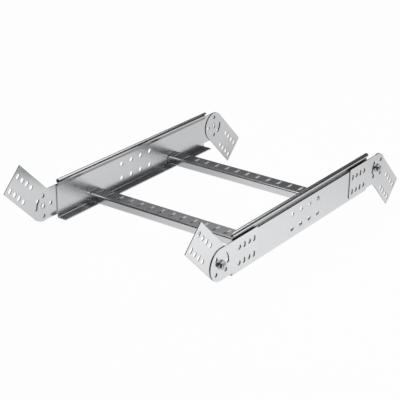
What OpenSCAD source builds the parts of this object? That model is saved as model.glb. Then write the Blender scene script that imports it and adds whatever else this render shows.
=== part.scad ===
// Adjustable vertical bend element for a cable ladder, sheet steel.
// Two roll-formed side rails, two perforated rungs and four riveted hinges.
// Millimetres, +Z up. X runs across the ladder, Y along the rails.
// X = 0 and Y = 0 are the middle of the rails, Z = 0 is the lowest point of the rear leaves.
// "front" is the -Y end, "rear" the +Y end, "left" -X and "right" +X.

/* [Rails] */
// Length of each side rail
rail_length = 350; // [320:1:500]
// Width over the outer faces of the two rails
overall_width = 300; // [200:1:620]
// Side height, underside of the flange to the top of the bead
rail_height = 60; // [58:0.5:90]
// Sheet thickness of the rails
rail_sheet = 1.5; // [1:0.1:2]
// Width of the bottom flange, turned inwards
flange_width = 15.8; // [10:0.1:25]
// Inner radius of the fold between web and flange
fold_radius = 1.5; // [1:0.1:2.5]
// Outside diameter of the open curl rolled along the top
bead_diameter = 6.6; // [6:0.1:8]
// Height of the curl's free edge, on the cable side, above the curl's middle
curl_lip = 1.6; // [0.3:0.1:2]
// Depth of the ledge under the curl, from the top of the rail to the end of its straight web
neck_drop = 12.3; // [12:0.1:14]
// Inner radius of the two folds that make the ledge
neck_radius = 0.7; // [0.5:0.1:0.8]
// Angle the sheet is folded in to make the ledge
neck_angle = 80; // [70:1:85]
// Angle the stem between ledge and curl leans in
stem_lean = 12; // [6:1:15]

/* [Rail holes] */
// Diameter of the round holes in the rails, for M6
rail_hole = 7.5; // [6.5:0.1:9]
// Column spacing of the holes in the middle of each rail
rail_column_pitch = 22.3; // [20:0.1:30]
// Spacing between the two rows of holes, rails and leaves
row_pitch = 22.5; // [20:0.1:24]
// Height of the middle of the two rows above the rail's underside
row_middle = 25.9; // [24:0.1:28]
// Columns of holes in the middle of each rail
rail_columns = 4; // [2:1:6]

/* [Rungs] */
// Distance between the middles of the two rungs
rung_spacing = 185.4; // [120:0.1:210]
// Width of a rung along the rails
rung_width = 27.3; // [24:0.1:40]
// Height of a rung above the flange
rung_height = 12.5; // [10:0.5:20]
// Sheet thickness of the rungs
rung_sheet = 1.5; // [1:0.1:2]
// Outside radius of the rung's folds
rung_corner = 2.5; // [2.1:0.1:4]
// Width of the two lips folded in under the rung
rung_lip = 8; // [5:0.5:10]
// Length of the cable-tie slots across a rung
slot_length = 19; // [10:0.5:20]
// Width of the cable-tie slots
slot_width = 4.6; // [4:0.1:8]
// Spacing of the cable-tie slots along a rung
slot_pitch = 18.75; // [15:0.05:30]

/* [Hinge leaves] */
// Thickness of a hinge leaf
leaf_sheet = 1; // [0.8:0.1:2]
// Height of a leaf, also the diameter of its round end
leaf_height = 45.2; // [44:0.1:47]
// Length of a leaf from the pivot to its square end
leaf_arm = 82.1; // [80:0.1:110]
// Height of the pivots above the rail's underside
pivot_height = 28.4; // [27.5:0.1:29.5]
// Distance of the pivots beyond the rail ends
pivot_reach = 28.4; // [27:0.1:45]
// Diameter of the round holes in the leaves, for M6
leaf_round_hole = 7; // [6.4:0.1:8]
// Distance from the pivot to the first column of leaf holes
leaf_first_column = 40.7; // [39:0.1:43]
// Column spacing of the leaf holes
leaf_column_pitch = 11.25; // [10.5:0.05:12]
// Width of the upright slots that alternate with the round holes
upright_slot_width = 5.7; // [5:0.1:7]
// Length of the upright slots
upright_slot_length = 8.5; // [8:0.1:11]
// Radius of the circle of index holes round the pivot
index_radius = 15; // [14:0.1:16.5]
// Diameter of the index holes and width of the curved slot
index_hole = 6; // [5:0.1:6.5]
// Upward bend of the two front leaves
front_bend = 45; // [0:1:90]
// Downward bend of the two rear leaves
rear_bend = 45; // [0:1:90]
// Gap between the two leaves of a hinge
leaf_gap = 0.1; // [0.1:0.05:0.3]

/* [Rivets] */
// Outside diameter of the hollow pivot rivets
rivet_diameter = 7.6; // [7.3:0.1:8.6]
// Running clearance between a rivet and the free leaf, on the radius
rivet_clearance = 0.05; // [0.02:0.01:0.1]
// Diameter of the rivets' rolled flanges
rivet_flange = 10; // [9.4:0.1:12]
// Thickness of the rivets' rolled flanges
rivet_flange_sheet = 0.3; // [0.2:0.1:0.6]

/* [Clamp bolts] */
// Thread diameter of the clamp bolts through the right-hand rivets
bolt_diameter = 6; // [5:0.1:6]
// Clearance between bolt and rivet bore, on the radius
bolt_clearance = 0.3; // [0.1:0.05:0.4]
// Diameter of the flat round bolt head
head_diameter = 13; // [12:0.1:14]
// Height of the bolt head
head_height = 3; // [2:0.1:4]
// Width across the flats of the nut
nut_flats = 10; // [9:0.1:11]
// Height of the nut
nut_height = 5; // [4:0.1:6]
// Diameter of the nut's flange
nut_flange = 13; // [12.5:0.1:14]
// Length of bolt standing out of the nut
bolt_end = 1; // [0.8:0.1:3]

/* [Hidden] */
$fn = 64;
steel = [0.74, 0.75, 0.76];
zinc = [0.80, 0.81, 0.82];
half_width = overall_width / 2;
pivot_y = rail_length / 2 + pivot_reach;
outer_fold = fold_radius + rail_sheet;
neck_outer = neck_radius + rail_sheet;
neck_middle = neck_radius + rail_sheet / 2;
neck_base = rail_height - neck_drop;
bead_radius = bead_diameter / 2;
bead_middle = rail_height - bead_radius;
stem_foot = [neck_outer - 2 * neck_middle * cos(neck_angle), neck_base + 2 * neck_middle * sin(neck_angle)];
stem_top = bead_middle - bead_radius + rail_sheet / 2;
stem_length = (stem_top - stem_foot[1] + neck_middle * sin(stem_lean)) / cos(stem_lean);
stem_inside = stem_foot[0] + neck_outer * cos(stem_lean) + stem_length * sin(stem_lean);
rung_end = outer_fold + 0.1;
rung_length = overall_width - 2 * rung_end;
rung_top = rail_sheet + rung_height;
slot_count = 2 * floor((rung_length - slot_width - 4) / slot_pitch / 2 + 0.5);
row_shift = pivot_height - row_middle;
leaf_drop = leaf_arm * sin(rear_bend) + leaf_height / 2 * cos(rear_bend) - pivot_height;
base_height = max(0, leaf_drop);
leaf_hole = rivet_diameter + 2 * rivet_clearance;
rivet_bore = bolt_diameter + 2 * bolt_clearance;
flange_in = leaf_gap + leaf_sheet + 0.1;
flange_out = -leaf_sheet;
nut_face = flange_out - rivet_flange_sheet;
head_face = flange_in + rivet_flange_sheet;
head_sphere = (head_diameter * head_diameter / 4 + head_height * head_height) / (2 * head_height);

// Flat wedge from angle a to angle b, under 120 degrees, for cutting rings
module wedge(a, b, reach) {
    m = (a + b) / 2;
    polygon([[0, 0],
        [reach * cos(a), reach * sin(a)],
        [2 * reach * cos(m), 2 * reach * sin(m)],
        [reach * cos(b), reach * sin(b)]]);
}

// Part of a flat ring between two angles
module arc(inner, outer, a, b) {
    intersection() {
        difference() {
            circle(r = outer);
            circle(r = inner);
        }
        wedge(a, b, 3 * outer);
    }
}

// Rail cross-section: x is the distance in from the outer face, y the height
module rail_section() {
    translate([outer_fold, 0]) square([flange_width - outer_fold, rail_sheet]);
    translate([outer_fold, outer_fold]) arc(fold_radius, outer_fold, 180, 270);
    translate([0, outer_fold]) square([rail_sheet, neck_base - outer_fold]);
    translate([neck_outer, neck_base]) arc(neck_radius, neck_outer, 180 - neck_angle, 180);
    // A short bridge over the joint of the two folds keeps the sheet in one piece
    translate([(neck_outer + stem_foot[0]) / 2, (neck_base + stem_foot[1]) / 2])
        rotate(90 - neck_angle) square([0.4, rail_sheet - 0.02], center = true);
    // The stem is drawn a hair thinner than the fold that it runs into
    translate(stem_foot) {
        arc(neck_radius, neck_outer, -neck_angle, -stem_lean);
        rotate(-stem_lean) translate([neck_radius + 0.02, -0.2]) square([rail_sheet - 0.04, stem_length + 0.2]);
    }
    difference() {
        translate([bead_radius, bead_middle]) difference() {
            circle(r = bead_radius);
            circle(r = bead_radius - rail_sheet);
        }
        // The curl is open on the cable side, between the stem and the curl's free edge
        translate([stem_inside + 0.1, bead_middle + curl_lip - 2 * bead_diameter]) square(2 * bead_diameter);
    }
}

// One rail with its outer face at X = 0 and the flange towards +X
module rail() {
    difference() {
        rotate([90, 0, 0])
            linear_extrude(height = rail_length, center = true)
                rail_section();
        for (i = [0 : rail_columns - 1], s = [-1, 1])
            translate([-1, (i - (rail_columns - 1) / 2) * rail_column_pitch, row_middle + s * row_pitch / 2])
                rotate([0, 90, 0])
                    cylinder(d = rail_hole, h = rail_sheet + 2);
    }
}

// Rectangle with round corners, bottom edge on y = 0, middle on x = 0
module round_rectangle(w, h, r) {
    translate([-w / 2 + r, 0]) square([w - 2 * r, h]);
    translate([-w / 2, r]) square([w, h - 2 * r]);
    for (x = [-w / 2 + r, w / 2 - r], y = [r, h - r])
        translate([x, y]) circle(r = r);
}

// Rung cross-section: a channel open underneath, with two lips
module rung_section() {
    difference() {
        round_rectangle(rung_width, rung_height, rung_corner);
        translate([0, rung_sheet])
            round_rectangle(rung_width - 2 * rung_sheet, rung_height - 2 * rung_sheet, rung_corner - rung_sheet);
        translate([-rung_width / 2 + rung_lip, -1])
            square([rung_width - 2 * rung_lip, rung_sheet + 2]);
    }
}

// One rung centred on X = 0 and Y = 0, lying on the flanges
module rung() {
    difference() {
        translate([0, 0, rail_sheet])
            rotate([90, 0, 90])
                linear_extrude(height = rung_length, center = true)
                    rung_section();
        for (i = [0 : slot_count - 1])
            translate([(i - (slot_count - 1) / 2) * slot_pitch, 0, rung_top - rung_sheet - 1])
                linear_extrude(height = rung_sheet + 2)
                    long_hole(slot_width, slot_length);
    }
}

// Slot with round ends, long along y
module long_hole(w, l) {
    square([w, l - w], center = true);
    for (s = [-1, 1])
        translate([0, s * (l - w) / 2]) circle(d = w);
}

// Outline of a hinge leaf: pivot at the origin, arm along +x
// side is +1 or -1, the side of the arm its hole rows are shifted to
module leaf_outline(side) {
    difference() {
        union() {
            circle(d = leaf_height, $fn = 96);
            translate([0, -leaf_height / 2]) square([leaf_arm, leaf_height]);
        }
        circle(d = leaf_hole);
        for (a = [135, 225, 315])
            rotate(a) translate([index_radius, 0]) circle(d = index_hole);
        // The slot between its two end holes is milled a hair narrower than they are
        arc(index_radius - index_hole / 2 + 0.05, index_radius + index_hole / 2 - 0.05, 0, 45);
        for (a = [0, 45])
            rotate(a) translate([index_radius, 0]) circle(d = index_hole);
        for (s = [-1, 1]) {
            for (i = [0, 2])
                translate([leaf_first_column + i * leaf_column_pitch, side * row_shift + s * row_pitch / 2])
                    circle(d = leaf_round_hole);
            for (i = [1, 3])
                translate([leaf_first_column + i * leaf_column_pitch, side * row_shift + s * row_pitch / 2])
                    long_hole(upright_slot_width, upright_slot_length);
        }
    }
}

// Leaf standing in the YZ plane, thickness from x to x + leaf_sheet, arm at an angle from +Y
module leaf(x, y, angle, side) {
    translate([x, y, pivot_height])
        rotate([angle, 0, 0])
            rotate([90, 0, 90])
                linear_extrude(height = leaf_sheet)
                    leaf_outline(side);
}

// Round bar along X from a to b
module bar(d, a, b) {
    translate([a, 0, 0]) rotate([0, 90, 0]) cylinder(d = d, h = b - a);
}

// Hollow rivet on the X axis; x is the distance in from the rail's outer face
module rivet() {
    difference() {
        union() {
            bar(rivet_diameter, nut_face, head_face);
            bar(rivet_flange, nut_face, flange_out);
            bar(rivet_flange, flange_in, head_face);
        }
        bar(rivet_bore, nut_face - 1, head_face + 1);
    }
}

// Half outline of the clamp bolt: x is the radius, y the distance from its tip
module bolt_outline(shank) {
    r = bolt_diameter / 2;
    polygon([[0, 0], [r - 0.6, 0], [r, 0.6], [r, shank + 0.5], [0, shank + 0.5]]);
    intersection() {
        translate([0, shank + head_height - head_sphere]) circle(r = head_sphere);
        translate([0, shank]) square([head_diameter, head_height + 1]);
    }
}

// Clamp bolt with a flat round slotted head on the inside
module bolt() {
    tip = nut_face - nut_height - bolt_end;
    difference() {
        translate([tip, 0, 0])
            rotate([0, 90, 0])
                rotate_extrude()
                    bolt_outline(head_face - tip);
        translate([head_face + head_height - 1.3, -head_diameter, -0.8])
            cube([3, 2 * head_diameter, 1.6]);
    }
}

// Hexagon nut with a round flange, on the outside
module nut() {
    difference() {
        union() {
            bar(nut_flange, nut_face - 1.2, nut_face);
            intersection() {
                translate([nut_face - nut_height, 0, 0]) rotate([0, 90, 0])
                    cylinder(d = nut_flats / cos(30), h = nut_height, $fn = 6);
                translate([nut_face - nut_height, 0, 0]) rotate([0, 90, 0])
                    cylinder(d1 = nut_flats - 0.4, d2 = nut_flats - 0.4 + 4 * nut_height, h = nut_height);
            }
        }
        bar(bolt_diameter + 0.1, nut_face - nut_height - 1, nut_face + 1);
    }
}

// Lifts the whole part so that its lowest point is at Z = 0
module lifted() { translate([0, 0, base_height]) children(); }
module left(y) { translate([-half_width, y, pivot_height]) children(); }
module right(y) { translate([half_width, y, pivot_height]) mirror([1, 0, 0]) children(); }

module rail_left() { color(steel) lifted() translate([-half_width, 0, 0]) rail(); }
module rail_right() { color(steel) lifted() translate([half_width, 0, 0]) mirror([1, 0, 0]) rail(); }
module rung_front() { color(steel) lifted() translate([0, -rung_spacing / 2, 0]) rung(); }
module rung_rear() { color(steel) lifted() translate([0, rung_spacing / 2, 0]) rung(); }

module fixed_leaf_front_left() { color(steel) lifted() leaf(-half_width - leaf_sheet, -pivot_y, 0, -1); }
module fixed_leaf_front_right() { color(steel) lifted() leaf(half_width, -pivot_y, 0, -1); }
module fixed_leaf_rear_left() { color(steel) lifted() leaf(-half_width - leaf_sheet, pivot_y, 180, 1); }
module fixed_leaf_rear_right() { color(steel) lifted() leaf(half_width, pivot_y, 180, 1); }

module free_leaf_front_left() { color(steel) lifted() leaf(-half_width + leaf_gap, -pivot_y, 180 - front_bend, 1); }
module free_leaf_front_right() {
    color(steel) lifted() leaf(half_width - leaf_gap - leaf_sheet, -pivot_y, 180 - front_bend, 1);
}
module free_leaf_rear_left() { color(steel) lifted() leaf(-half_width + leaf_gap, pivot_y, -rear_bend, -1); }
module free_leaf_rear_right() {
    color(steel) lifted() leaf(half_width - leaf_gap - leaf_sheet, pivot_y, -rear_bend, -1);
}

module rivet_front_left() { color(zinc) lifted() left(-pivot_y) rivet(); }
module rivet_front_right() { color(zinc) lifted() right(-pivot_y) rivet(); }
module rivet_rear_left() { color(zinc) lifted() left(pivot_y) rivet(); }
module rivet_rear_right() { color(zinc) lifted() right(pivot_y) rivet(); }

module bolt_front_right() { color(zinc) lifted() right(-pivot_y) bolt(); }
module bolt_rear_right() { color(zinc) lifted() right(pivot_y) bolt(); }
module nut_front_right() { color(zinc) lifted() right(-pivot_y) nut(); }
module nut_rear_right() { color(zinc) lifted() right(pivot_y) nut(); }

rail_left();
rail_right();
rung_front();
rung_rear();
fixed_leaf_front_left();
fixed_leaf_front_right();
fixed_leaf_rear_left();
fixed_leaf_rear_right();
free_leaf_front_left();
free_leaf_front_right();
free_leaf_rear_left();
free_leaf_rear_right();
rivet_front_left();
rivet_front_right();
rivet_rear_left();
rivet_rear_right();
bolt_front_right();
bolt_rear_right();
nut_front_right();
nut_rear_right();
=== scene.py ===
"""Looks of the cable tray vertical bend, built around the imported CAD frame. Metres, CAD axes."""

import math

import bmesh
import bpy
from mathutils import Matrix, Vector


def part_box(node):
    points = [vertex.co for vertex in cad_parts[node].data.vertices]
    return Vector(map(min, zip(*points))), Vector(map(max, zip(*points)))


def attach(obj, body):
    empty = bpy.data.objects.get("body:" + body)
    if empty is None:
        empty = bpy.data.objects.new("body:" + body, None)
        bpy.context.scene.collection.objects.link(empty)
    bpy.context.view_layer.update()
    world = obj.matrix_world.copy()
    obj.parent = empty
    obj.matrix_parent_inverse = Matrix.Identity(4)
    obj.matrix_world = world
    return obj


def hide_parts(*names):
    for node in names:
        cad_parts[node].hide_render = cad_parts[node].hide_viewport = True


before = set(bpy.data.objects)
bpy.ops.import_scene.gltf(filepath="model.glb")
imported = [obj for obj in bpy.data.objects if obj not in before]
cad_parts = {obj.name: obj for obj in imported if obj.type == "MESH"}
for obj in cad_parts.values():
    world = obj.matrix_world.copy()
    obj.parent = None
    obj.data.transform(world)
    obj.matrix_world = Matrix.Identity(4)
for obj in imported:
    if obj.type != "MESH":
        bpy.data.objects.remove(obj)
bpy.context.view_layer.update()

MM = 0.001
MM_IN_METRE = 1000.0
WHITE = (1.0, 1.0, 1.0, 1.0)
ENDS = ("front_left", "front_right", "rear_left", "rear_right")
BOLTED_ENDS = ("front_right", "rear_right")


# Shader maths

class Value:
    """A socket of the finish that is being made. Sums on it add Math nodes."""

    def __init__(self, finish, socket):
        self.finish = finish
        self.socket = socket

    def math(self, operation, first, second=0.0):
        return self.finish.add("ShaderNodeMath", {"operation": operation}, {0: first, 1: second})

    def __add__(self, other):
        return self.math("ADD", self, other)

    def __radd__(self, other):
        return self.math("ADD", other, self)

    def __sub__(self, other):
        return self.math("SUBTRACT", self, other)

    def __rsub__(self, other):
        return self.math("SUBTRACT", other, self)

    def __mul__(self, other):
        return self.math("MULTIPLY", self, other)

    def __rmul__(self, other):
        return self.math("MULTIPLY", other, self)

    def __gt__(self, other):
        return self.math("GREATER_THAN", self, other)

    def __lt__(self, other):
        return self.math("LESS_THAN", self, other)

    def __abs__(self):
        return self.math("ABSOLUTE", self)


class Finish:
    """One material, or the world, with the nodes that make it."""

    def __init__(self, name, owner=None):
        self.material = owner or bpy.data.materials.new(name)
        self.material.use_nodes = True
        self.tree = self.material.node_tree
        self.tree.nodes.clear()

    def add(self, kind, settings=None, inputs=None, output=0):
        """Any node: its settings come first, then the values or links of its sockets."""
        node = self.tree.nodes.new(kind)
        for key, value in (settings or {}).items():
            setattr(node, key, value)
        for key, value in (inputs or {}).items():
            socket = node.inputs[key]
            if isinstance(value, Value):
                self.tree.links.new(value.socket, socket)
            else:
                socket.default_value = value
        return Value(self, node.outputs[output])

    def show(self, shader, kind="ShaderNodeOutputMaterial"):
        out = self.tree.nodes.new(kind)
        self.tree.links.new(shader.socket, out.inputs["Surface"])
        return self.material


def part_along(finish, vector, axis):
    """A vector's part along X, Y or Z."""
    return finish.add("ShaderNodeSeparateXYZ", None, {"Vector": vector}, output=axis)


def soft_step(finish, value, low, high, start=0.0, end=1.0):
    """Goes from start at low to end at high. high may be below low."""
    return finish.add("ShaderNodeMapRange", {"interpolation_type": "SMOOTHSTEP"},
                      {"Value": value, "From Min": low, "From Max": high, "To Min": start, "To Max": end})


def soft_band(finish, value, edges):
    """Rises from 0 to 1 over the first two of four edges, and falls again over the last two."""
    return soft_step(finish, value, edges[0], edges[1]) * soft_step(finish, value, edges[3], edges[2])


MIX_SHARE, MIX_FIRST, MIX_SECOND, MIXED = 0, 6, 7, 2     # sockets of a Mix node that mixes colours


def mixed_colour(finish, share, first, second):
    """The first colour at share 0, the second at share 1."""
    return finish.add("ShaderNodeMix", {"data_type": "RGBA"},
                      {MIX_SHARE: share, MIX_FIRST: first, MIX_SECOND: second}, output=MIXED)


# Galvanised sheet

SHEET_ZINC = (0.76, 0.765, 0.775)
# Near-black colour mixed in as painted shade in the rail's curl, groove, bends, fold and flange
PAINTED_SHADE_ZINC = (0.08, 0.08, 0.083, 1.0)
# Near-black colour that the sheared edges are drawn in
DARK_EDGE = (0.03, 0.03, 0.032, 1.0)
SHADE_SPREAD = 0.045        # share by which the zinc's colour varies either way
GLOSS_SPREAD = 0.03         # roughness that varies along with the colour
EDGE_ROUGHNESS = 0.10       # roughness that a sheared edge has over the skin
WEB_ROUGHNESS = 0.08        # roughness that the web has over the flange and the neck

ROLLED_ALONG_X = (16.0, 700.0, 700.0)
ROLLED_ALONG_Y = (700.0, 16.0, 700.0)
STREAKS = {"Scale": 1.0, "Detail": 3.0, "Roughness": 0.6}
CLOUDS = {"Scale": 24.0, "Detail": 4.0, "Roughness": 0.55}
SPANGLES = {"Scale": 260.0, "Randomness": 1.0}
CLOUD_SHARE, STREAK_SHARE, SPANGLE_SHARE = 0.8, 0.4, 0.2
NOISE_MIDDLE = 0.5
ROLLING_MARKS = {"Strength": 0.012, "Distance": 0.00003}
SKIN_FACING = 0.6           # a leaf's skin faces X by more than this, and its sheared edges by less
EDGE_FACING = 0.08          # the sheared edges of a rail or rung face its length by more than this

# Rail section, in millimetres: depths go in from the outer face, heights up from the underside
RAIL_LOW, RAIL_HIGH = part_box("rail_left")
RAIL_FACE, RAIL_BASE = -RAIL_LOW[0] * MM_IN_METRE, RAIL_LOW[2] * MM_IN_METRE
RAIL_HALF = RAIL_HIGH[1] * MM_IN_METRE
LEAF_EDGE = -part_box("fixed_leaf_front_left")[1][1] * MM_IN_METRE
NECK_FOOT, NECK_LEAN, NECK_MIDDLE = 47.7, 0.67, 0.75     # height, slope and depth of its middle line
CURL_DEPTH, CURL_HEIGHT = 3.3, 56.7
CURL_INSIDE = 1.95          # radius between the curl's bore and its outside
GROOVE_HEIGHTS = (48.0, 48.8, 50.8, 51.6)
BEND_HEIGHTS = (47.6, 48.4, 55.6, 56.2)
UPPER_BEND_HEIGHTS = (51.5, 54.5)
FOLD_DEPTHS, FOLD_HEIGHTS = (1.2, 1.8, 3.4, 4.2), (4.2, 3.4)
FLANGE_DEPTHS, FLANGE_HEIGHTS = (3.4, 4.2), (2.4, 2.0)
WEB_HEIGHTS = (3.0, 9.0, 46.5, 48.5)

# Places along the rail, in millimetres from its middle
CURL_MOUTH = (RAIL_HALF - 9.0, RAIL_HALF - 2.0)
BESIDE_LEAF = (LEAF_EDGE - 1.3, LEAF_EDGE + 1.7)
OFF_END_FACE = (RAIL_HALF - 0.1, RAIL_HALF - 0.6)

# Shares of painted shade, and what is added at the curl's mouth, beside a leaf and on the upper bend
CURL_SHARE, CURL_MOUTH_SHARE = 0.40, 0.60
GROOVE_SHARE, BESIDE_LEAF_SHARE = 0.34, 0.60
BEND_SHARE, UPPER_BEND_SHARE = 0.56, 0.26
FOLD_SHARE, FLANGE_SHARE = 0.55, 0.18


def rail_painted_shade(zinc, place):
    """Painted shade on a rail: near-black zinc mixed in inside the curl, in the groove under it, on the
    neck's inner bends, in the flange's fold and on the flange, where it stands for a dark reflection. The
    second value is the web, which is more matt than the rest."""
    depth = RAIL_FACE - abs(part_along(zinc, place, "X")) * MM_IN_METRE
    length = abs(part_along(zinc, place, "Y")) * MM_IN_METRE
    height = part_along(zinc, place, "Z") * MM_IN_METRE - RAIL_BASE

    curl_across = depth - CURL_DEPTH
    curl_up = height - CURL_HEIGHT
    in_curl = (curl_across * curl_across + curl_up * curl_up) < CURL_INSIDE * CURL_INSIDE
    curl_mouth = soft_step(zinc, length, *CURL_MOUTH)
    inner_side = depth > (height - NECK_FOOT) * NECK_LEAN + NECK_MIDDLE
    groove = (1.0 - inner_side) * soft_band(zinc, height, GROOVE_HEIGHTS)
    beside_leaf = soft_step(zinc, length, *BESIDE_LEAF)
    bends = inner_side * soft_band(zinc, height, BEND_HEIGHTS) * (1.0 - in_curl)
    upper_bend = soft_step(zinc, height, *UPPER_BEND_HEIGHTS)
    off_end_face = soft_step(zinc, length, *OFF_END_FACE)
    fold = soft_band(zinc, depth, FOLD_DEPTHS) * soft_step(zinc, height, *FOLD_HEIGHTS)
    flange = soft_step(zinc, depth, *FLANGE_DEPTHS) * soft_step(zinc, height, *FLANGE_HEIGHTS)

    curl_shade = in_curl * (curl_mouth * CURL_MOUTH_SHARE + CURL_SHARE)
    groove_shade = groove * (beside_leaf * BESIDE_LEAF_SHARE + GROOVE_SHARE)
    bends_shade = bends * (upper_bend * UPPER_BEND_SHARE + BEND_SHARE)
    foot_shade = fold * FOLD_SHARE + flange * FLANGE_SHARE
    shade_share = zinc.add("ShaderNodeClamp", None,
                    {"Value": curl_shade + (groove_shade + bends_shade) * off_end_face + foot_shade})
    web = soft_band(zinc, height, WEB_HEIGHTS)
    return shade_share, web


def zinc_finish(name, rolled, turn, gloss, edge_axis, skin_faces_axis, edge_share, shade_painter=None):
    """Strip-galvanised sheet. rolled and turn lay the rolling streaks along the piece. edge_axis tells
    a sheared edge from the zinc skin, and skin_faces_axis says whether the skin faces that axis."""
    zinc = Finish(name)
    place = zinc.add("ShaderNodeTexCoord", output="Object")
    turned = zinc.add("ShaderNodeMapping", {"vector_type": "POINT"},
                      {"Vector": place, "Rotation": (math.radians(turn), 0.0, 0.0)})
    stretched = zinc.add("ShaderNodeVectorMath", {"operation": "MULTIPLY"}, {0: turned, 1: rolled})
    streak = zinc.add("ShaderNodeTexNoise", None, {"Vector": stretched, **STREAKS})
    cloud = zinc.add("ShaderNodeTexNoise", None, {"Vector": place, **CLOUDS})
    crystal = zinc.add("ShaderNodeTexVoronoi", {"feature": "F1"}, {"Vector": place, **SPANGLES},
                       output="Color")
    spangle = zinc.add("ShaderNodeSeparateColor", None, {"Color": crystal})
    normal = zinc.add("ShaderNodeTexCoord", output="Normal")
    facing = abs(part_along(zinc, normal, edge_axis))
    cut = facing < SKIN_FACING if skin_faces_axis else facing > EDGE_FACING

    uneven = ((cloud - NOISE_MIDDLE) * CLOUD_SHARE + (streak - NOISE_MIDDLE) * STREAK_SHARE +
              (spangle - NOISE_MIDDLE) * SPANGLE_SHARE)
    darkest = tuple(part * (1.0 - SHADE_SPREAD) for part in SHEET_ZINC) + (1.0,)
    lightest = tuple(part * (1.0 + SHADE_SPREAD) for part in SHEET_ZINC) + (1.0,)
    colour = mixed_colour(zinc, uneven + NOISE_MIDDLE, darkest, lightest)
    rough = gloss + uneven * GLOSS_SPREAD + cut * EDGE_ROUGHNESS
    # The rail's painted shade is mixed into the colour here, and its web is made rougher
    if shade_painter:
        shade_share, web = shade_painter(zinc, place)
        colour = mixed_colour(zinc, shade_share, colour, PAINTED_SHADE_ZINC)
        rough = rough + web * WEB_ROUGHNESS
    # Sheared edges are drawn darker, by edge_share
    colour = mixed_colour(zinc, cut * edge_share, colour, DARK_EDGE)
    bump = zinc.add("ShaderNodeBump", None, {"Height": streak, **ROLLING_MARKS})
    steel = zinc.add("ShaderNodeBsdfPrincipled", None,
                     {"Base Color": colour, "Metallic": 1.0, "Roughness": rough, "Normal": bump})
    return zinc.show(steel)


rail_zinc = zinc_finish("rail_zinc", ROLLED_ALONG_Y, turn=0.0, gloss=0.18, edge_axis="Y",
                        skin_faces_axis=False, edge_share=0.12, shade_painter=rail_painted_shade)
rung_zinc = zinc_finish("rung_zinc", ROLLED_ALONG_X, turn=0.0, gloss=0.20, edge_axis="X",
                        skin_faces_axis=False, edge_share=0.10)
# The free leaves' edges are drawn darker than the fixed leaves' edges
fixed_leaf_zinc = zinc_finish("fixed_leaf_zinc", ROLLED_ALONG_Y, turn=0.0, gloss=0.18, edge_axis="X",
                              skin_faces_axis=True, edge_share=0.80)
free_leaf_zinc = zinc_finish("free_leaf_zinc", ROLLED_ALONG_Y, turn=45.0, gloss=0.18, edge_axis="X",
                             skin_faces_axis=True, edge_share=0.92)


# Plated fasteners

PLATING_PATCHES = {"Scale": 320.0, "Detail": 3.0, "Roughness": 0.6}
PLATING_MARKS = {"Strength": 0.05, "Distance": 0.00005}
PLATING_GLOSS, PLATING_DULLING = 0.10, 0.10
BOLT_SHADES = ((0.50, 0.51, 0.53, 1.0), (0.66, 0.67, 0.69, 1.0))
RIVET_SHADES = ((0.69, 0.695, 0.705, 1.0), (0.77, 0.775, 0.785, 1.0))


def plated_finish(name, dark, light):
    """Electro-plated fasteners: smoother than the sheet, dulled a little in patches."""
    plating = Finish(name)
    place = plating.add("ShaderNodeTexCoord", output="Object")
    patch = plating.add("ShaderNodeTexNoise", None, {"Vector": place, **PLATING_PATCHES})
    colour = mixed_colour(plating, patch, dark, light)
    rough = PLATING_GLOSS + patch * PLATING_DULLING
    bump = plating.add("ShaderNodeBump", None, {"Height": patch, **PLATING_MARKS})
    steel = plating.add("ShaderNodeBsdfPrincipled", None,
                        {"Base Color": colour, "Metallic": 1.0, "Roughness": rough, "Normal": bump})
    return plating.show(steel)


bolt_zinc = plated_finish("bolt_zinc", *BOLT_SHADES)
rivet_zinc = plated_finish("rivet_zinc", *RIVET_SHADES)

NODE_FINISH = {
    "rail_": rail_zinc,
    "rung_": rung_zinc,
    "fixed_leaf_": fixed_leaf_zinc,
    "free_leaf_": free_leaf_zinc,
    "rivet_": rivet_zinc,
    "bolt_": bolt_zinc,
    "nut_": bolt_zinc,
}
for node_name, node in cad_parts.items():
    for start, finish in NODE_FINISH.items():
        if node_name.startswith(start):
            node.data.materials.clear()
            node.data.materials.append(finish)


# Ways to make a fastener round the X axis, in millimetres out from the rail's face and from the axis

SAME_POINT = 1e-7           # metres within which two points are one
SHARP_EDGE = math.radians(32.0)
FULL_TURN = 2.0 * math.pi
AXIS_POINT, AXIS = (0.0, 0.0, 0.0), (1.0, 0.0, 0.0)


def turned_ring(shape, outline, steps):
    """Spins an outline of (distance out, radius) points once round the axis."""
    points = [shape.verts.new((out * MM, 0.0, radius * MM)) for out, radius in outline]
    edges = [shape.edges.new(pair) for pair in zip(points, points[1:] + points[:1])]
    bmesh.ops.spin(shape, geom=points + edges, cent=AXIS_POINT, axis=AXIS, angle=FULL_TURN, steps=steps,
                   use_merge=True)
    bmesh.ops.remove_doubles(shape, verts=shape.verts, dist=SAME_POINT)


def quarter(middle, reach, start, count=6):
    """Points of a quarter turn of an oval in the (distance out, radius) plane, start in degrees."""
    turns = [math.radians(start + 90.0 * step / count) for step in range(count + 1)]
    return [(middle[0] + reach[0] * math.cos(turn), middle[1] + reach[1] * math.sin(turn))
            for turn in turns]


def cut_at(shape, point, across, clear_beyond=False):
    """Cuts the whole shape at a plane, and gives the edges of the cut."""
    everything = shape.verts[:] + shape.edges[:] + shape.faces[:]
    cut = bmesh.ops.bisect_plane(shape, geom=everything, dist=SAME_POINT, plane_co=point, plane_no=across,
                                 clear_outer=clear_beyond)
    return [edge for edge in cut["geom_cut"] if isinstance(edge, bmesh.types.BMEdge)]


def open_edges(shape):
    return [edge for edge in shape.edges if edge.is_boundary]


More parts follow.
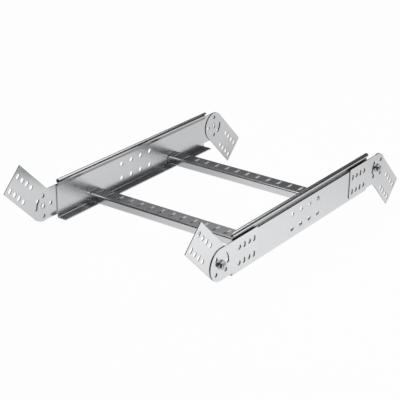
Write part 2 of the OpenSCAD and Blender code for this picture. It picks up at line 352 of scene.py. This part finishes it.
def place_fastener(shape, name, end, node_name, finish):
    """Moves a fastener to its hinge and makes it a piece that stands for its CAD node."""
    low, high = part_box("rivet_" + end)
    hand = end.split("_")[1]
    side = 1.0 if hand == "right" else -1.0
    rail_face = side * max(abs(corner[0]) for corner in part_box("rail_" + hand))
    bmesh.ops.scale(shape, vec=(side, 1.0, 1.0), verts=shape.verts)
    bmesh.ops.translate(shape, verts=shape.verts,
                        vec=(rail_face, (low[1] + high[1]) / 2.0, (low[2] + high[2]) / 2.0))
    bmesh.ops.recalc_face_normals(shape, faces=shape.faces)
    mesh = bpy.data.meshes.new(name)
    shape.to_mesh(mesh)
    shape.free()
    for face in mesh.polygons:
        face.use_smooth = True
    mesh.set_sharp_from_angle(angle=SHARP_EDGE)
    mesh.materials.append(finish)
    piece = bpy.data.objects.new(name, mesh)
    bpy.context.scene.collection.objects.link(piece)
    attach(piece, "frame")
    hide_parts(node_name)


# Rivets

RIVET_FACE = 1.30                               # outer face of the flange outside
RIVET_SEAT_OUT, RIVET_SEAT_IN = 1.00, -1.20     # where the two flanges bear on the leaves
RIVET_BORE, RIVET_SHANK, RIVET_FLANGE = 3.30, 3.80, 5.00
RIVET_MOUTH, RIVET_RIM = 0.40, 0.20             # radii of the rolled mouth and of the flange's rim
RIVET_STEPS = 56


def rolled_rivet(end):
    """Hollow rivet: both ends are rolled over, so the bore opens like a bell and the rims are round."""
    mouth = quarter((RIVET_FACE - RIVET_MOUTH, RIVET_BORE + RIVET_MOUTH),
                    (RIVET_MOUTH, -RIVET_MOUTH), 90.0)
    rim = quarter((RIVET_SEAT_OUT, RIVET_FLANGE - RIVET_RIM),
                  (RIVET_FACE - RIVET_SEAT_OUT, RIVET_RIM), 0.0)
    outer = mouth[::-1] + rim
    inner = [(RIVET_SEAT_OUT + RIVET_SEAT_IN - out, radius) for out, radius in outer]
    shank = [(RIVET_SEAT_OUT, RIVET_SHANK), (RIVET_SEAT_IN, RIVET_SHANK)]
    shape = bmesh.new()
    turned_ring(shape, outer + shank + inner[::-1], RIVET_STEPS)
    place_fastener(shape, "rolled_rivet_" + end, end, "rivet_" + end, rivet_zinc)


# Nuts

NUT_SEAT, NUT_BORE = 1.30, 3.02
NUT_RADIUS, NUT_SIDES = 5.00, 6                 # from the middle to a flat, and how many flats
NUT_CORNER = NUT_RADIUS / math.cos(math.pi / NUT_SIDES)
NUT_TURN = 45.0                                 # degrees, as it stopped when it was tightened
NUT_STEPS, COLLAR_STEPS = 96, 64
# Outlines as height over the seat and radius: the blank with its chamfers, and the coned flange
NUT_BLANK = ((0.60, NUT_BORE), (0.60, NUT_CORNER + 0.02), (4.38, NUT_CORNER + 0.02), (4.90, 4.90),
             (5.00, 4.65), (5.00, 3.47), (4.55, NUT_BORE))
NUT_COLLAR = ((0.00, NUT_BORE), (0.00, 6.35), (0.15, 6.50), (0.45, 6.50), (0.62, 6.38),
              (1.15, NUT_CORNER - 0.30), (1.40, NUT_CORNER - 0.90), (1.40, NUT_BORE))


def flanged_nut(end):
    """Hexagon nut: a turned blank with a chamfer, cut to six flats, on a coned flange."""
    shape = bmesh.new()
    turned_ring(shape, [(NUT_SEAT + rise, radius) for rise, radius in NUT_BLANK], NUT_STEPS)
    for flat in range(NUT_SIDES):
        turn = FULL_TURN * flat / NUT_SIDES + math.radians(NUT_TURN)
        outward = Vector((0.0, math.cos(turn), math.sin(turn)))
        rim = cut_at(shape, outward * (NUT_RADIUS * MM), outward, clear_beyond=True)
        bmesh.ops.contextual_create(shape, geom=rim)
    collar = bmesh.new()
    turned_ring(collar, [(NUT_SEAT + rise, radius) for rise, radius in NUT_COLLAR], COLLAR_STEPS)
    collar_mesh = bpy.data.meshes.new("nut_collar")
    collar.to_mesh(collar_mesh)
    collar.free()
    shape.from_mesh(collar_mesh)
    bpy.data.meshes.remove(collar_mesh)
    place_fastener(shape, "flanged_nut_" + end, end, "nut_" + end, bolt_zinc)


# Bolts

BOLT_TIP, BOLT_CORE = 7.30, 2.50
HEAD_SEAT, HEAD_TOP, HEAD_RADIUS = -1.50, -4.50, 6.50
HEAD_RISE = HEAD_SEAT - HEAD_TOP
DOME_RADIUS = (HEAD_RADIUS ** 2 + HEAD_RISE ** 2) / 2.0 / HEAD_RISE
DOME_STEPS, BOLT_STEPS = 14, 72
RIM_INSET, RIM_BREAK, HEAD_FILLET = 0.12, 0.03, 0.25
TIP_TAPER, TIP_INSET = 0.50, 0.45               # the point's chamfer, along the bolt and in from its core
TIP_OPENING, CORE_TUBE = 0.30, 0.62             # radii of the tube that the spin leaves round the axis
SLOT_HALF, SLOT_DEPTH = 0.80, 1.30
THREAD_PITCH, THREAD_CREST, THREAD_END = 1.0, 2.97, 0.55
THREAD_STEPS = 36                               # in one turn
RIDGE_FOOT, RIDGE_TOP = 0.42, 0.06              # half widths of the thread's ridge
RIDGE_SINK = 0.05                               # how deep the ridge's foot sits in the core


def domed_blank(shape):
    """The turned bolt: domed head, fillet under it, shank and chamfered point."""
    rim = math.asin((HEAD_RADIUS - RIM_INSET) / DOME_RADIUS)
    turns = [rim * step / DOME_STEPS for step in range(1, DOME_STEPS + 1)]
    dome = [(HEAD_TOP + DOME_RADIUS - DOME_RADIUS * math.cos(turn), DOME_RADIUS * math.sin(turn))
            for turn in turns]
    seat = [(HEAD_SEAT - RIM_BREAK, HEAD_RADIUS - RIM_BREAK), (HEAD_SEAT, HEAD_RADIUS - RIM_INSET),
            (HEAD_SEAT, BOLT_CORE + HEAD_FILLET), (HEAD_SEAT + HEAD_FILLET, BOLT_CORE)]
    point = [(BOLT_TIP - TIP_TAPER, BOLT_CORE), (BOLT_TIP, BOLT_CORE - TIP_INSET),
             (BOLT_TIP, TIP_OPENING)]
    turned_ring(shape, dome + seat + point, BOLT_STEPS)
    tube = [face for face in shape.faces
            if all(math.hypot(corner.co.y, corner.co.z) < CORE_TUBE * MM for corner in face.verts)]
    bmesh.ops.delete(shape, geom=tube, context="FACES")
    bmesh.ops.holes_fill(shape, edges=open_edges(shape), sides=0)


def driver_slot(shape):
    """Sinks a straight slot into the head."""
    slot_floor = (HEAD_TOP + SLOT_DEPTH) * MM
    slot_wall = SLOT_HALF * MM
    cut_at(shape, (slot_floor, 0.0, 0.0), AXIS)
    for wall in (slot_wall, -slot_wall):
        cut_at(shape, (0.0, 0.0, wall), (0.0, 0.0, 1.0))
    slot_faces = [face for face in shape.faces if face.calc_center_median().x < slot_floor and
                  abs(face.calc_center_median().z) < slot_wall]
    bmesh.ops.delete(shape, geom=slot_faces, context="FACES")
    sunk = bmesh.ops.extrude_edge_only(shape, edges=open_edges(shape))["geom"]
    for corner in sunk:
        if isinstance(corner, bmesh.types.BMVert):
            corner.co.x = slot_floor
    bmesh.ops.remove_doubles(shape, verts=shape.verts, dist=SAME_POINT)
    bmesh.ops.dissolve_degenerate(shape, edges=shape.edges, dist=SAME_POINT)
    bmesh.ops.holes_fill(shape, edges=open_edges(shape), sides=0)


def rolled_thread(shape):
    """Winds a ridge round the shank, from the nut's seat to the point."""
    turns = int((BOLT_TIP - THREAD_END - NUT_SEAT) / THREAD_PITCH)
    start = BOLT_TIP - THREAD_END - turns * THREAD_PITCH
    foot = BOLT_CORE - RIDGE_SINK
    ridge = [shape.verts.new((out * MM, 0.0, radius * MM)) for out, radius in
             ((start - RIDGE_FOOT, foot), (start - RIDGE_TOP, THREAD_CREST),
              (start + RIDGE_TOP, THREAD_CREST), (start + RIDGE_FOOT, foot))]
    root = shape.faces.new(ridge)
    bmesh.ops.spin(shape, geom=[root], cent=AXIS_POINT, axis=AXIS,
                   dvec=(THREAD_PITCH * MM / THREAD_STEPS, 0.0, 0.0), angle=FULL_TURN * turns,
                   steps=THREAD_STEPS * turns, use_merge=False)


def threaded_bolt(end):
    """Clamp bolt: domed head with a driver slot on the cable side, a rolled thread on the shank."""
    shape = bmesh.new()
    domed_blank(shape)
    driver_slot(shape)
    rolled_thread(shape)
    place_fastener(shape, "threaded_bolt_" + end, end, "bolt_" + end, bolt_zinc)


for hinge_end in ENDS:
    rolled_rivet(hinge_end)
for hinge_end in BOLTED_ENDS:
    flanged_nut(hinge_end)
    threaded_bolt(hinge_end)


# Camera at the photograph's place

FRAME_WIDTH, FOCUS = 400.0, 1206.5004           # pixels
SENSOR_WIDTH = 36.0
CLIP_NEAR, CLIP_FAR = 0.05, 60.0
AZIMUTH, ELEVATION, ROLL = math.radians(35.7434), math.radians(23.5247), math.radians(0.6508)
SLIDE_X, SLIDE_Y, DISTANCE = -23.6675 * MM, -21.7866 * MM, 1738.7532 * MM
AIM_HEIGHT = 30.0                               # millimetres over the rails' underside
AIM = Vector((0.0, 0.0, (RAIL_BASE + AIM_HEIGHT) * MM))

ahead = Vector((-math.sin(AZIMUTH) * math.cos(ELEVATION),
                math.cos(AZIMUTH) * math.cos(ELEVATION), -math.sin(ELEVATION)))
level = Vector((math.cos(AZIMUTH), math.sin(AZIMUTH), 0.0))
upward = level.cross(ahead)
rightward = level * math.cos(ROLL) + upward * math.sin(ROLL)
upright = upward * math.cos(ROLL) - level * math.sin(ROLL)
stand = AIM - ahead * DISTANCE + rightward * SLIDE_X + upright * SLIDE_Y

camera_data = bpy.data.cameras.new("photo_camera")
camera_data.sensor_fit = "HORIZONTAL"
camera_data.sensor_width = SENSOR_WIDTH
camera_data.lens = FOCUS * SENSOR_WIDTH / FRAME_WIDTH
camera_data.clip_start = CLIP_NEAR
camera_data.clip_end = CLIP_FAR
camera = bpy.data.objects.new("photo_camera", camera_data)
bpy.context.scene.collection.objects.link(camera)
facing_ahead = Matrix((rightward, upright, -ahead)).transposed().to_4x4()
camera.matrix_world = Matrix.Translation(stand) @ facing_ahead
bpy.context.scene.camera = camera


# Floor, studio light and world

FLOOR_RADIUS, FLOOR_SIDES = 9.0, 96
FLOOR_DROP = 0.0005                             # clear of the leaf corners that stand on it
FLOOR_PAINT = (0.82, 0.82, 0.82, 1.0)
FLOOR_WHITE = 0.975                             # share that the camera sees white, the rest is shadowed
FLOOR_DIM = 0.12                                # what metal sees of the floor away from the part
# Painted pool of light that only metal sees on the floor, with painted shade to the left and the front
FLOOR_LIGHT_MIDDLE = (0.36, -0.02, 0.0)
FLOOR_LIGHT_REACH, FLOOR_LIGHT_FALL = (0.06, 0.46), 0.68
FLOOR_LEFT, FLOOR_LEFT_SHADE = (-0.16, -0.07), 0.70
FLOOR_FRONT = (-0.44, -0.26)
FLOOR_EDGE = (0.90, 0.45)
SKY_DIM = (0.06, 0.06, 0.062, 1.0)

# Name, middle, width and height in metres, degrees up from straight down and round the upright, watts
LAMPS = (
    ("right_soft_box", (0.50, 0.25, 1.25), (2.26, 2.08), (0.0, -5.0), 16.2),
    ("low_back_card", (-1.55, 1.95, 0.35), (2.0, 0.66), (90.0, 38.5), 1.35),
    ("high_back_card", (-1.76, 1.76, 1.80), (1.34, 1.02), (90.0, 45.0), 2.08),
)


def floor_finish():
    """Pale paper. The camera sees it white, and metal sees a painted pool of light near the part, with
    painted shade left and front.
    """
    paper = Finish("floor_paper")
    camera_ray = paper.add("ShaderNodeLightPath", output="Is Camera Ray")
    glossy_ray = paper.add("ShaderNodeLightPath", output="Is Glossy Ray")
    place = paper.add("ShaderNodeTexCoord", output="Object")
    offset = paper.add("ShaderNodeVectorMath", {"operation": "SUBTRACT"},
                       {0: place, 1: FLOOR_LIGHT_MIDDLE})
    reach = paper.add("ShaderNodeVectorMath", {"operation": "LENGTH"}, {0: offset}, output="Value")
    spread = paper.add("ShaderNodeVectorMath", {"operation": "LENGTH"}, {0: place}, output="Value")
    fall = paper.add("ShaderNodeMapRange", None,
                     {"Value": reach, "From Min": FLOOR_LIGHT_REACH[0], "From Max": FLOOR_LIGHT_REACH[1],
                      "To Min": 1.0, "To Max": FLOOR_LIGHT_FALL})
    shaded = soft_step(paper, part_along(paper, place, "X"), *FLOOR_LEFT, start=FLOOR_LEFT_SHADE)
    lit = soft_step(paper, part_along(paper, place, "Y"), *FLOOR_FRONT)
    # Painted pool of light and painted shade on the floor, as metal sees it
    painted_floor_light = fall * shaded * lit * soft_step(paper, spread, *FLOOR_EDGE)
    paint = paper.add("ShaderNodeBsdfDiffuse", None, {"Color": FLOOR_PAINT})
    white = paper.add("ShaderNodeEmission", None, {"Color": WHITE, "Strength": 1.0})
    dim = paper.add("ShaderNodeEmission", None, {"Color": WHITE, "Strength": FLOOR_DIM})
    mirrored = paper.add("ShaderNodeMixShader", None, {0: painted_floor_light, 1: dim, 2: white})
    metal_view = paper.add("ShaderNodeMixShader", None, {0: glossy_ray, 1: paint, 2: mirrored})
    both = paper.add("ShaderNodeMixShader", None, {0: camera_ray * FLOOR_WHITE, 1: metal_view, 2: white})
    floor_paper = paper.show(both)
    floor_paper.cycles.emission_sampling = "NONE"
    return floor_paper


def studio_floor():
    shape = bmesh.new()
    bmesh.ops.create_circle(shape, cap_ends=True, segments=FLOOR_SIDES, radius=FLOOR_RADIUS)
    mesh = bpy.data.meshes.new("studio_floor")
    shape.to_mesh(mesh)
    shape.free()
    mesh.materials.append(floor_finish())
    floor = bpy.data.objects.new("studio_floor", mesh)
    bpy.context.scene.collection.objects.link(floor)
    floor.location.z = -FLOOR_DROP


def studio_world():
    """White to the camera, and a dim room to the metal."""
    world = bpy.data.worlds.new("studio_world")
    bpy.context.scene.world = world
    sky = Finish("studio_world", world)
    camera_ray = sky.add("ShaderNodeLightPath", output="Is Camera Ray")
    dim = sky.add("ShaderNodeBackground", None, {"Color": SKY_DIM, "Strength": 1.0})
    white = sky.add("ShaderNodeBackground", None, {"Color": WHITE, "Strength": 1.0})
    both = sky.add("ShaderNodeMixShader", None, {0: camera_ray, 1: dim, 2: white})
    sky.show(both, "ShaderNodeOutputWorld")


def soft_lamp(name, middle, size, aim, watts):
    """A flat soft box that the camera doesn't see, tilted up from straight down and then turned."""
    tilt, turn = aim
    data = bpy.data.lights.new(name, "AREA")
    data.shape = "RECTANGLE"
    data.size, data.size_y = size
    data.energy = watts
    lamp = bpy.data.objects.new(name, data)
    bpy.context.scene.collection.objects.link(lamp)
    lamp.location = middle
    lamp.rotation_euler = (math.radians(-tilt), 0.0, math.radians(turn))
    lamp.visible_camera = False


studio_floor()
studio_world()
for lamp_facts in LAMPS:
    soft_lamp(*lamp_facts)

scene = bpy.context.scene
scene.view_settings.view_transform = "Standard"
# The denoiser works from the colour alone, because its other guides are noisy on bright metal
scene.cycles.denoising_input_passes = "RGB"
